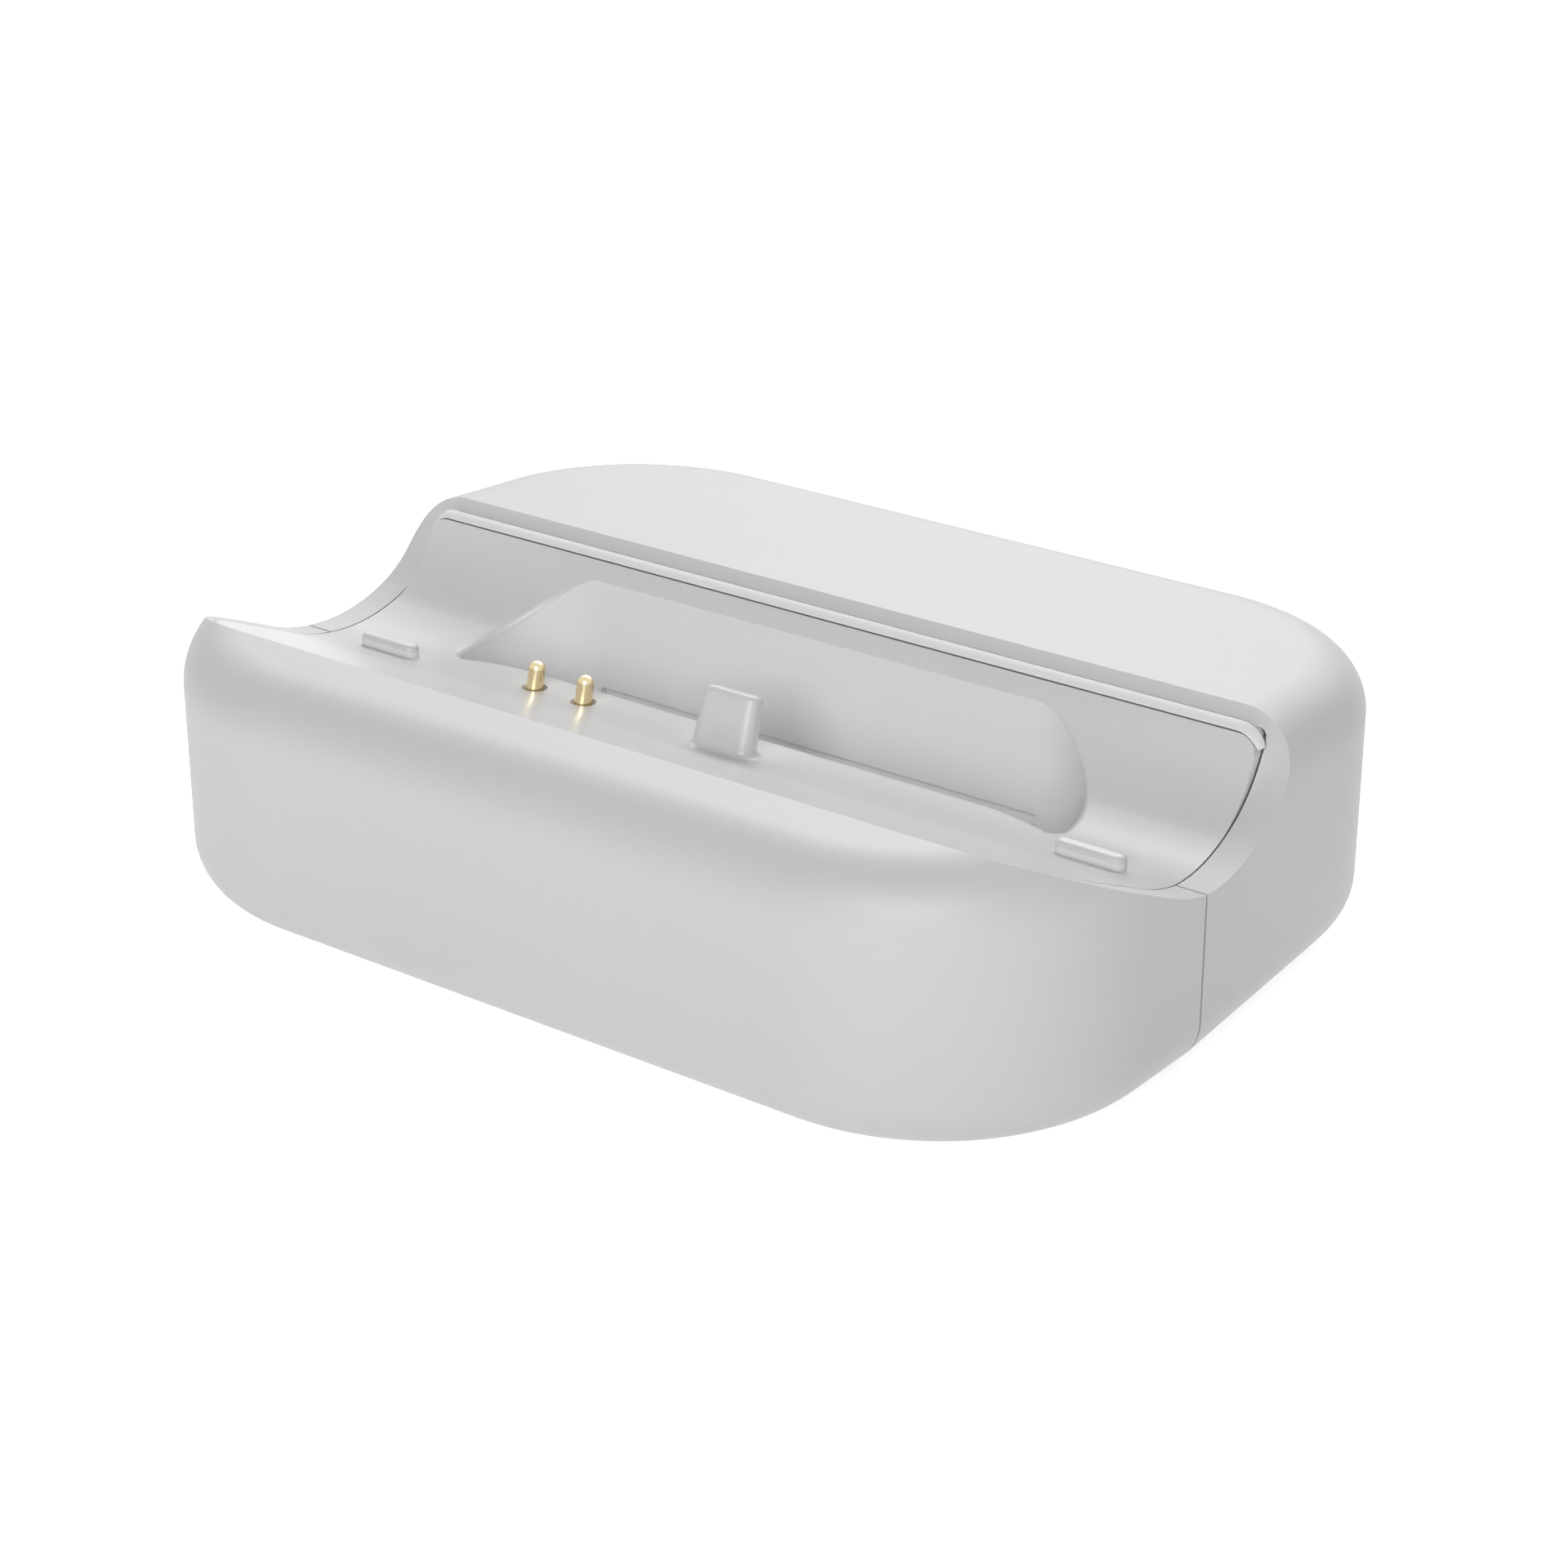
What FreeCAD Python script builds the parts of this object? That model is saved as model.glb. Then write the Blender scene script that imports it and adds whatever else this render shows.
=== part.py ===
import FreeCAD, Part
import math
import os
import Sketcher
from FreeCAD import Placement, Rotation, Vector

doc = FreeCAD.newDocument("charging_dock")
sheet = doc.addObject("Spreadsheet::Sheet", "Sizes")
rows = []


def put(alias, text):
    """One named size, a number or a formula, in the sheet."""
    rows.append(alias)
    cell = "B%d" % len(rows)
    sheet.set("A%d" % len(rows), alias)
    sheet.set(cell, text)
    sheet.setAlias(cell, alias)


sizes = {
    # Housing: two mouldings that meet at a seam across the trough.
    "body_width": 92,
    "body_depth": 68,
    "foot_proud": 0.4,
    "seam_y": -7.26,
    "seam_gap": 0.25,
    "front_lean": 1.2,
    "rear_lean": 3.45,
    "front_corner": 19.7,
    "rear_corner": 19.2,
    "bottom_round": 4.5,
    "front_round": 5.2,
    "deck_round": 5,
    "wall": 2,
    "deck_height": 24.2,
    "deck_tilt": 2.65,
    "crease_y": 7.5,
    "crest_y": -26,
    "facet_tilt": 6,
    # Trough: a sloping front plane, a round floor and a rising back.
    "floor_tilt": 24.6,
    "floor_radius": 16,
    "floor_low": 15.1,
    "arc_y": -5,
    "band_angle": 25.9,
    "band_drop": 0.14,
    "band_end": 79.7,
    # Insert that lines the trough.
    "insert_angle": 19.6,
    "insert_end": 80,
    "rim_drop": 1.6,
    "rim_straight": 0.5,
    "insert_thick": 1.8,
    "lip_width": 2.85,
    "insert_corner": 7.8,
    "rim_corner": 1.6,
    "rim_thick": 0.5,
    "rim_step": 0.7,
    "collar_inset": 0.25,
    "collar_round": 0.6,
    "seat_corner": 0.8,
    "edge_gap": 0.15,
    "seat_gap": 0.3,
    "shelf": 1.6,
    "shelf_width": 2.6,
    # Hollow of the two mouldings.
    "ring_top": 3,
    "plate_thick": 1.6,
    "plate_inset": 5.2,
    "ring_inset": 7,
    "plate_gap": 0.3,
    # Sunk pocket in the floor of the insert.
    "pocket_half": 31,
    "pocket_tip_half": 31.2,
    "pocket_tip_y": -4.9,
    "pocket_rear_y": 5.2,
    "pocket_front_y": -3.2,
    "pocket_flat_half": 23,
    "pocket_corner": 8.2,
    "pocket_sweep": 20.7,
    "pocket_tip_round": 0.9,
    "pocket_floor": 9.6,
    "pocket_wall": 1.3,
    "pocket_round": 0.6,
    "groove_deep": 0.7,
    "groove_high": 1.3,
    # Ribs and locating peg on the floor of the insert.
    "rib_in": 10.1,
    "rib_y": -7.6,
    "rib_length": 6.2,
    "rib_depth": 1.5,
    "rib_high": 1.2,
    "rib_root": 1,
    "rib_round": 0.5,
    "peg_x": 0.6,
    "peg_y": -7.45,
    "peg_length": 6.2,
    "peg_depth": 2.3,
    "peg_top_length": 5.4,
    "peg_top_depth": 1.8,
    "peg_high": 5,
    "peg_root": 1,
    "peg_lean": 19,
    "peg_round": 0.55,
    "peg_fillet": 0.6,
    # Spring contacts that lean back out of the floor.
    "pin_left_x": -20.65,
    "pin_right_x": -15.3,
    "pin_y": -6.2,
    "pin_lean": 15,
    "pin_proud": 2.35,
    "pin_radius": 0.73,
    "pin_hole": 1.1,
    "pin_collar": 1,
    "pin_collar_top": -2.8,
    "pin_collar_base": -3.6,
    "pin_axis": 0,
    "barrel_radius": 1.3,
    "barrel_bore": 1.05,
    "barrel_mouth": 0.79,
    "barrel_top": -2.4,
    "barrel_floor": -6.4,
    "barrel_base": -6.8,
    "coil_radius": 0.7,
    "coil_wire": 0.2,
    "coil_turns": 6,
    "holder_length": 9.6,
    "holder_front": -2.5,
    "holder_rear": 1.55,
    "holder_top": -2.7,
    "holder_base": -6.3,
    "board_length": 20.4,
    "board_front": -3.4,
    "board_rear": 2.2,
    "board_thick": 1,
    "post_reach": 8.2,
    "post_radius": 1.8,
    "post_back": -0.8,
    "post_bore": 0.85,
    "small_screw": 0.8,
    "small_head": 1.5,
    "small_head_high": 0.9,
    "small_screw_long": 3,
    "small_clear": 0.15,
    # Base plate, feet and main board.
    "boss_in_x": 20,
    "boss_in_y": 8.6,
    "boss_radius": 2.7,
    "boss_high": 8,
    "base_screw": 1.1,
    "base_bore": 1.15,
    "base_head": 2.2,
    "base_head_deep": 1.1,
    "base_screw_long": 6.5,
    "base_clear": 0.1,
    "cross_long": 2.4,
    "cross_wide": 0.5,
    "cross_deep": 0.6,
    "foot_in_x": 15,
    "foot_in_y": 15.5,
    "foot_radius": 5,
    "foot_recess": 0.8,
    "foot_round": 0.3,
    "foot_clear": 0.1,
    "main_half": 20,
    "main_front_y": 10.6,
    "main_in": 3,
    "main_thick": 1.2,
    "main_under": 4.4,
    "main_post_x": 17,
    "main_post_front": 5.8,
    "main_post_rear": 6.6,
    "main_post_radius": 2.1,
    "inlet_width": 8.94,
    "inlet_high": 3.26,
    "inlet_sheet": 0.3,
    "inlet_long": 7.6,
    "inlet_back": 0.5,
    "inlet_clear": 0.3,
    "tongue_width": 6.7,
    "tongue_thick": 0.7,
    "tongue_long": 6.2,
    "inlet_floor": 0.8,
    # Tabs inside the seam.
    "tab_out": 1.8,
    "tab_thick": 1,
    "tab_low": 5,
    "tab_high": 7.5,
    "tab_long": 2,
    # Parts on the main board.
    "chip_side": 4,
    "chip_high": 0.9,
    "coil_side": 6.4,
    "coil_high": 3,
    "capacitor_long": 1.6,
    "capacitor_deep": 0.8,
    "capacitor_pitch": 1.5,
    "capacitor_count": 6,
    "capacitor_x": -4.6,
    "capacitor_y": 19.2,
    "chip_x": -11,
    "chip_y": 18,
    "coil_x": 5,
    "coil_y": 16.5,
    # Leads between the boards.
    "lead_radius": 0.55,
    "lead_bend": 1.1,
    "lead_gap": 0.2,
}
formulas = {
    # Housing: two mouldings that meet at a seam across the trough.
    "half_width": "=body_width / 2",
    "front_y": "=-body_depth / 2",
    "rear_y": "=body_depth / 2",
    "front_end": "=seam_y - seam_gap",
    "front_half": "=half_width - (seam_y - front_y) * tan(front_lean)",
    "rear_half": "=half_width - (rear_y - seam_y) * tan(rear_lean)",
    "tall": "=deck_height + 20",
    "block_high": "=deck_height + 8",
    "wide": "=body_width + 20",
    # Trough: a sloping front plane, a round floor and a rising back.
    "arc_z": "=foot_proud + floor_low + floor_radius",
    "slope_y": "=arc_y - floor_radius * sin(floor_tilt)",
    "slope_z": "=arc_z - floor_radius * cos(floor_tilt)",
    "far_front_y": "=front_y - 6",
    "far_rear_y": "=rear_y + 6",
    "slope_far_z": "=slope_z + (slope_y - far_front_y) * tan(floor_tilt)",
    "past_seam_y": "=seam_y + 2",
    "past_seam_z": "=arc_z - sqrt(floor_radius ^ 2 - (past_seam_y - arc_y) ^ 2)",
    "before_seam_y": "=seam_y - 2",
    "before_seam_z": "=arc_z - sqrt(floor_radius ^ 2 - (before_seam_y - arc_y) ^ 2)",
    "band_y": "=arc_y + floor_radius * sin(band_angle)",
    "band_z": "=arc_z - floor_radius * cos(band_angle)",
    "band_rise": "=foot_proud + deck_height - band_drop - band_z",
    "band_radius": "=band_rise / (cos(band_angle) - cos(band_end))",
    "band_top_y": "=band_y + band_radius * (sin(band_end) - sin(band_angle))",
    "band_top_z": "=band_z + band_radius * (cos(band_angle) - cos(band_end))",
    "band_far_y": "=band_top_y + (tall - band_top_z) / tan(band_end)",
    "crest_z": "=slope_z + (slope_y - crest_y) * tan(floor_tilt)",
    "facet_far_z": "=crest_z - (crest_y - far_front_y) * tan(facet_tilt)",
    "facet_seam_z": "=crest_z + (past_seam_y - crest_y) * tan(facet_tilt)",
    "deck_seam_z": "=foot_proud + deck_height + (crease_y - before_seam_y) * tan(deck_tilt)",
    "deck_far_z": "=foot_proud + deck_height - (far_rear_y - crease_y) * tan(deck_tilt)",
    # Insert that lines the trough.
    "rim_z": "=foot_proud + deck_height - rim_drop",
    "back_y": "=arc_y + floor_radius * sin(insert_angle)",
    "back_z": "=arc_z - floor_radius * cos(insert_angle)",
    "insert_radius": "=(rim_z - rim_straight - back_z) / (cos(insert_angle) - cos(insert_end))",
    "back_top_y": "=back_y + insert_radius * (sin(insert_end) - sin(insert_angle))",
    "back_top_z": "=back_z + insert_radius * (cos(insert_angle) - cos(insert_end))",
    "rim_y": "=back_top_y + (rim_z - back_top_z) / tan(insert_end)",
    "insert_front_y": "=crest_y + 0.1",
    "insert_rear_y": "=rim_y + insert_thick + 3",
    "insert_half": "=half_width - lip_width",
    "insert_front_half": "=insert_half - (seam_y - insert_front_y) * tan(front_lean)",
    "insert_rear_half": "=insert_half - (insert_rear_y - seam_y) * tan(rear_lean)",
    "hole_front_y": "=insert_front_y",
    "hole_half": "=insert_half + edge_gap",
    "hole_front_half": "=insert_front_half + edge_gap",
    "hole_rear_half": "=insert_rear_half + edge_gap",
    "hole_corner": "=insert_corner + edge_gap",
    "hole_rim_z": "=rim_z + edge_gap",
    "step_z": "=rim_z - rim_step",
    "lap_y": "=rim_y + rim_thick",
    "lap_step_y": "=lap_y - rim_step / tan(insert_end)",
    "lap_tall_y": "=lap_y + (tall - rim_z) / tan(insert_end)",
    "collar_z": "=step_z + edge_gap",
    "collar_top_y": "=lap_y + edge_gap + (hole_rim_z - rim_z) / tan(insert_end)",
    "collar_low_y": "=collar_top_y - (hole_rim_z - collar_z) / tan(insert_end)",
    "collar_length": "=2 * (insert_half - (lap_y - seam_y) * tan(rear_lean) - collar_inset)",
    # Underside of the insert: the trough face moved in by the thickness.
    "under_radius": "=floor_radius + insert_thick",
    "under_back_radius": "=insert_radius + insert_thick",
    "under_slope_y": "=arc_y - under_radius * sin(floor_tilt)",
    "under_slope_z": "=arc_z - under_radius * cos(floor_tilt)",
    "under_far_z": "=under_slope_z + (under_slope_y - far_front_y) * tan(floor_tilt)",
    "under_back_y": "=arc_y + under_radius * sin(insert_angle)",
    "under_back_z": "=arc_z - under_radius * cos(insert_angle)",
    "under_top_y": "=back_top_y + insert_thick * sin(insert_end)",
    "under_top_z": "=back_top_z - insert_thick * cos(insert_end)",
    "under_rim_y": "=under_top_y + (rim_z - under_top_z) / tan(insert_end)",
    # Seat in the housing: flat under the front plane, clear behind the curves.
    "seat_radius": "=under_radius + seat_gap",
    "seat_back_radius": "=under_back_radius + seat_gap",
    "seat_reach": "=sqrt(seat_radius ^ 2 - under_radius ^ 2)",
    "seat_slope_y": "=under_slope_y - seat_reach * cos(floor_tilt)",
    "seat_slope_z": "=under_slope_z + seat_reach * sin(floor_tilt)",
    "seat_back_y": "=arc_y + seat_radius * sin(insert_angle)",
    "seat_back_z": "=arc_z - seat_radius * cos(insert_angle)",
    "seat_top_y": "=under_top_y + seat_gap * sin(insert_end)",
    "seat_top_z": "=under_top_z - seat_gap * cos(insert_end)",
    "seat_rim_y": "=seat_top_y + (hole_rim_z - seat_top_z) / tan(insert_end)",
    "collar_back_y": "=seat_rim_y + 0.5",
    "open_half": "=insert_half - shelf_width",
    "open_front_half": "=insert_front_half - shelf_width",
    "open_front_y": "=insert_front_y + shelf_width",
    "open_rear_y": "=rim_y + 1.4",
    "open_rear_half": "=insert_rear_half - shelf_width",
    "open_corner": "=insert_corner - shelf_width",
    # Hollow of the two mouldings.
    "ring_z": "=foot_proud + ring_top",
    "plate_top_z": "=foot_proud + plate_thick",
    "plate_cut": "=plate_inset - plate_gap",
    "inner_half": "=half_width - wall",
    "inner_front_half": "=front_half - wall",
    "inner_rear_half": "=rear_half - wall",
    "inner_front_y": "=front_y + wall",
    "inner_rear_y": "=rear_y - wall",
    "inner_front_corner": "=front_corner - wall",
    "inner_rear_corner": "=rear_corner - wall",
    "shelf_deep": "=insert_thick + seat_gap + shelf",
    "vault_radius": "=floor_radius + shelf_deep",
    "vault_back_radius": "=insert_radius + shelf_deep",
    "vault_slope_y": "=arc_y - vault_radius * sin(floor_tilt)",
    "vault_slope_z": "=arc_z - vault_radius * cos(floor_tilt)",
    "vault_crest_z": "=crest_z - shelf_deep / cos(floor_tilt) - 0.3",
    "vault_front_z": "=facet_far_z + (far_front_y * -1 + front_y) * tan(facet_tilt) - wall - 0.3",
    "vault_seam_z": "=arc_z - sqrt(vault_radius ^ 2 - (past_seam_y - arc_y) ^ 2)",
    "vault_before_z": "=arc_z - sqrt(vault_radius ^ 2 - (before_seam_y - arc_y) ^ 2)",
    "vault_back_y": "=arc_y + vault_radius * sin(insert_angle)",
    "vault_back_z": "=arc_z - vault_radius * cos(insert_angle)",
    "vault_top_y": "=back_top_y + shelf_deep * sin(insert_end)",
    "vault_top_z": "=back_top_z - shelf_deep * cos(insert_end)",
    "vault_deck_y": "=vault_top_y + 1.6",
    "vault_deck_z": "=foot_proud + deck_height - (vault_deck_y - crease_y) * tan(deck_tilt) - wall - 0.1",
    "vault_rear_z": "=deck_far_z - wall - 0.1",
    # Sunk pocket in the floor of the insert.
    "pocket_side_y": "=pocket_rear_y - pocket_corner",
    "pocket_back_half": "=pocket_half - pocket_corner",
    "pocket_floor_z": "=foot_proud + pocket_floor",
    "tub_half": "=pocket_half + pocket_wall",
    "tub_tip_half": "=pocket_tip_half + pocket_wall",
    "tub_tip_y": "=pocket_tip_y - pocket_wall",
    "tub_rear_y": "=pocket_rear_y + pocket_wall",
    "tub_front_y": "=pocket_front_y - pocket_wall",
    "tub_corner": "=pocket_corner + pocket_wall",
    "tub_sweep": "=pocket_sweep + 2 * pocket_wall",
    "tub_floor_z": "=pocket_floor_z - pocket_wall",
    # Ribs and locating peg on the floor of the insert.
    "rib_z": "=arc_z - sqrt(floor_radius ^ 2 - (rib_y - arc_y) ^ 2) - rib_root",
    "rib_x": "=half_width - rib_in",
    "peg_z": "=arc_z - sqrt(floor_radius ^ 2 - (peg_y - arc_y) ^ 2)",
    # Spring contacts that lean back out of the floor.
    "pin_z": "=arc_z - sqrt(floor_radius ^ 2 - (pin_y - arc_y) ^ 2)",
    "pin_shoulder": "=pin_proud - pin_radius",
    "pin_mid_x": "=(pin_left_x + pin_right_x) / 2",
    "holder_bore": "=barrel_radius + 0.02",
    # Base plate, feet and main board.
    "main_z": "=foot_proud + main_under",
    "main_top_z": "=main_z + main_thick",
    "main_rear_y": "=rear_y - main_in",
    "main_post_front_y": "=main_front_y + main_post_front",
    "main_post_rear_y": "=main_rear_y - main_post_rear",
    "boss_x": "=half_width - boss_in_x",
    "boss_y": "=rear_y - boss_in_y",
    "foot_x": "=half_width - foot_in_x",
    "foot_y": "=rear_y - foot_in_y",
    "inlet_mouth_y": "=rear_y - inlet_back",
    "inlet_end_y": "=inlet_mouth_y - inlet_long",
    "inlet_z": "=main_top_z + inlet_high / 2",
    # Leads between the boards.
    "lead_z": "=main_top_z + lead_radius",
    "lead_end_y": "=main_front_y + 2.6",
}
for alias, number in sizes.items():
    put(alias, str(number))
for alias, formula in formulas.items():
    put(alias, formula)
doc.recompute()


def size(name):
    """The number that a named size has now."""
    if name.startswith("-"):
        return -float(sheet.get(name[1:]))
    return float(sheet.get(name))


def bind(name):
    """The expression that follows a named size."""
    if name.startswith("-"):
        return "-Sizes." + name[1:]
    return "Sizes." + name


def draw(sketch, corners, arcs=None):
    """Closed outline through named corners; arcs give a named radius and the side of the centre."""
    arcs = arcs or {}
    points = [Vector(size(a), size(b), 0) for a, b in corners]
    count = len(points)
    for i in range(count):
        start = points[i]
        end = points[(i + 1) % count]
        if i not in arcs:
            sketch.addGeometry(Part.LineSegment(start, end), False)
            continue
        radius = size(arcs[i][0])
        chord = end - start
        rise = math.sqrt(radius ** 2 - (chord.Length / 2) ** 2)
        across = Vector(-chord.y, chord.x, 0)
        across.normalize()
        centre = (start + end) * 0.5 + across * rise * arcs[i][1]
        first = math.atan2(start.y - centre.y, start.x - centre.x)
        last = math.atan2(end.y - centre.y, end.x - centre.x)
        circle = Part.Circle(centre, Vector(0, 0, 1), radius)
        if arcs[i][1] > 0:
            sketch.addGeometry(Part.ArcOfCircle(circle, first, last), False)
        else:
            sketch.addGeometry(Part.ArcOfCircle(circle, last, first), False)

    def ends(i):
        """Point numbers of the start and the end of one piece of the outline."""
        if i in arcs and arcs[i][1] < 0:
            return 2, 1
        return 1, 2

    for i in range(count):
        follows = (i + 1) % count
        sketch.addConstraint(Sketcher.Constraint("Coincident", i, ends(i)[1], follows, ends(follows)[0]))
    for i in range(count):
        for kind, name in zip(("DistanceX", "DistanceY"), corners[i]):
            place = sketch.addConstraint(Sketcher.Constraint(kind, -1, 1, i, ends(i)[0], size(name)))
            sketch.setExpression("Constraints[%d]" % place, bind(name))
        if i in arcs:
            place = sketch.addConstraint(Sketcher.Constraint("Radius", i, size(arcs[i][0])))
            sketch.setExpression("Constraints[%d]" % place, bind(arcs[i][0]))


def mirrored(corners):
    """Corners of the right half, followed by the same corners on the left in reverse."""
    return corners + [("-" + x, y) for x, y in reversed(corners)]


def plan(name, corners, arcs, bottom, length):
    """Upright solid on a plan outline."""
    sketch = doc.addObject("Sketcher::SketchObject", name + "_plan")
    draw(sketch, corners, arcs)
    solid = doc.addObject("Part::Extrusion", name)
    solid.Base = sketch
    solid.DirMode = "Custom"
    solid.Dir = Vector(0, 0, 1)
    solid.Solid = True
    solid.setExpression("LengthFwd", bind(length))
    solid.setExpression("Placement.Base.z", bottom)
    doc.recompute()
    return solid


def across(name, corners, arcs=None, length="wide"):
    """Solid drawn in side view and drawn out evenly to both sides."""
    sketch = doc.addObject("Sketcher::SketchObject", name + "_side")
    sketch.Placement = Placement(Vector(), Rotation(Vector(1, 1, 1), 120))
    draw(sketch, corners, arcs)
    solid = doc.addObject("Part::Extrusion", name)
    solid.Base = sketch
    solid.DirMode = "Custom"
    solid.Dir = Vector(1, 0, 0)
    solid.Solid = True
    solid.Symmetric = True
    solid.setExpression("LengthFwd", bind(length))
    doc.recompute()
    return solid


def cut(name, base, *tools):
    """Base less each tool in turn."""
    result = base
    for i, tool in enumerate(tools):
        step = doc.addObject("Part::Cut", "%s_%d" % (name, i))
        step.Base = result
        step.Tool = tool
        result = step
    result.Label = name
    doc.recompute()
    return result


def common(name, first, second):
    """What two solids share."""
    result = doc.addObject("Part::MultiCommon", name)
    result.Shapes = [first, second]
    doc.recompute()
    return result


def fuse(name, *pieces):
    """One solid, or one group, made of several."""
    result = doc.addObject("Part::MultiFuse", name)
    result.Shapes = list(pieces)
    result.Refine = True
    doc.recompute()
    return result


def rounded(name, base, radius, test):
    """Edges that pass the test rounded to a named radius."""
    chosen = []
    for number, edge in enumerate(base.Shape.Edges, 1):
        if test(edge):
            chosen.append((number, size(radius), size(radius)))
    result = doc.addObject("Part::Fillet", name)
    result.Base = base
    result.Edges = chosen
    doc.recompute()
    return result


def along(edge):
    """Points spread along an edge."""
    return edge.discretize(5)


def upright(edge):
    """True for a straight upright edge."""
    points = along(edge)
    return abs(points[0].x - points[-1].x) + abs(points[0].y - points[-1].y) < 1e-6


def cylinder(name, radius, bottom, high, x, y, z="0", lean=None):
    """Round bar; bottom and high run along its own axis, and lean tips its top to the rear."""
    bar = doc.addObject("Part::Cylinder", name)
    bar.setExpression("Radius", radius)
    bar.setExpression("Height", high)
    if lean:
        bar.Placement = Placement(Vector(), Rotation(Vector(1, 0, 0), -size(lean)))
        bar.setExpression("Placement.Base.y", "%s + (%s) * sin(%s)" % (y, bottom, bind(lean)))
        bar.setExpression("Placement.Base.z", "%s + (%s) * cos(%s)" % (z, bottom, bind(lean)))
    else:
        bar.setExpression("Placement.Base.y", y)
        bar.setExpression("Placement.Base.z", "%s + (%s)" % (z, bottom))
    bar.setExpression("Placement.Base.x", x)
    return bar


def block(name, length, width, high, x, y, z):
    """Square block from its lowest left front corner."""
    brick = doc.addObject("Part::Box", name)
    brick.setExpression("Length", length)
    brick.setExpression("Width", width)
    brick.setExpression("Height", high)
    brick.setExpression("Placement.Base.x", x)
    brick.setExpression("Placement.Base.y", y)
    brick.setExpression("Placement.Base.z", z)
    return brick


# Trough faces, as the space above the insert and above the lip of each moulding.
slope = [("far_front_y", "slope_far_z"), ("slope_y", "slope_z")]
above_insert = across(
    "above_insert",
    slope + [("back_y", "back_z"), ("back_top_y", "back_top_z"), ("rim_y", "rim_z"),
             ("far_rear_y", "rim_z"), ("far_rear_y", "tall"), ("far_front_y", "tall")],
    {1: ("floor_radius", 1), 2: ("insert_radius", 1)})
above_front = across(
    "above_front",
    slope + [("past_seam_y", "past_seam_z"), ("past_seam_y", "tall"), ("far_front_y", "tall")],
    {1: ("floor_radius", 1)})
above_band = across(
    "above_band",
    [("before_seam_y", "before_seam_z"), ("band_y", "band_z"), ("band_top_y", "band_top_z"),
     ("band_far_y", "tall"), ("before_seam_y", "tall")],
    {0: ("floor_radius", 1), 1: ("band_radius", 1)})
above_facet = across(
    "above_facet",
    [("far_front_y", "facet_far_z"), ("past_seam_y", "facet_seam_z"), ("past_seam_y", "tall"),
     ("far_front_y", "tall")])
above_deck = across(
    "above_deck",
    [("before_seam_y", "deck_seam_z"), ("far_rear_y", "deck_far_z"), ("far_rear_y", "tall"),
     ("before_seam_y", "tall")])


def moulding(name, corners, corner, lid, edge_round, end, trough):
    """Outer form of one half: upright walls, round corners, a lid plane and rounded edges."""
    form = plan(name + "_block", mirrored(corners), None, "Sizes.foot_proud", "block_high")
    far = size(corners[1][1])
    form = rounded(name + "_corners", form, corner,
                   lambda e: upright(e) and abs(along(e)[0].y - far) < 1e-6)
    form = cut(name + "_lidded", form, lid)
    low = size("foot_proud")
    side = size(end)

    def rim(edge):
        """True for an edge of the lid that isn't on the seam."""
        points = along(edge)
        if max(abs(p.y - side) for p in points) < 1e-6:
            return False
        return not upright(edge) and min(p.z for p in points) > low + size("bottom_round")

    def sole(edge):
        """True for an edge of the underside that isn't on the seam."""
        points = along(edge)
        if max(abs(p.y - side) for p in points) < 1e-6:
            return False
        return max(p.z for p in points) < low + 1e-6

    form = rounded(name + "_rim", form, edge_round, rim)
    form = rounded(name + "_sole", form, "bottom_round", sole)
    return cut(name + "_form", form, trough)


front_form = moulding("front", [("half_width", "front_end"), ("front_half", "front_y")],
                      "front_corner", above_facet, "front_round", "front_end", above_front)
rear_form = moulding("rear", [("half_width", "seam_y"), ("rear_half", "rear_y")],
                     "rear_corner", above_deck, "deck_round", "seam_y", above_band)

# Seat of the insert in both mouldings, and the way through for the pocket.
seat_side = across(
    "seat_side",
    [("far_front_y", "under_far_z"), ("seat_slope_y", "seat_slope_z"), ("seat_back_y", "seat_back_z"),
     ("seat_top_y", "seat_top_z"), ("seat_rim_y", "hole_rim_z"), ("arc_y", "hole_rim_z"),
     ("arc_y", "tall"), ("far_front_y", "tall")],
    {1: ("seat_radius", 1), 2: ("seat_back_radius", 1)})
seat_plan = plan(
    "seat_outline",
    mirrored([("hole_rear_half", "insert_rear_y"), ("hole_half", "seam_y"),
              ("hole_front_half", "hole_front_y")]), None, "0", "tall")
seat_plan = rounded("seat_corners", seat_plan, "hole_corner",
                    lambda e: upright(e) and along(e)[0].y < size("hole_front_y") + 1)
seat = common("seat", seat_plan, seat_side)


def rim_corner_edge(edge):
    """True for the short edge over an upper corner of the insert or of its seat."""
    points = along(edge)
    level = max(p.z for p in points) - min(p.z for p in points) < 1e-6
    outer = min(abs(p.x) for p in points) > size("open_rear_half")
    high = size("rim_z") - 1e-6 < points[0].z < size("tall") - 1
    return level and outer and high


seat = rounded("seat_rim", seat, "seat_corner", rim_corner_edge)
way = plan(
    "way_outline",
    mirrored([("open_rear_half", "open_rear_y"), ("open_half", "seam_y"),
              ("open_front_half", "open_front_y")]), None, "0", "rim_z")
way = rounded("way_corners", way, "open_corner", upright)

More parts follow.
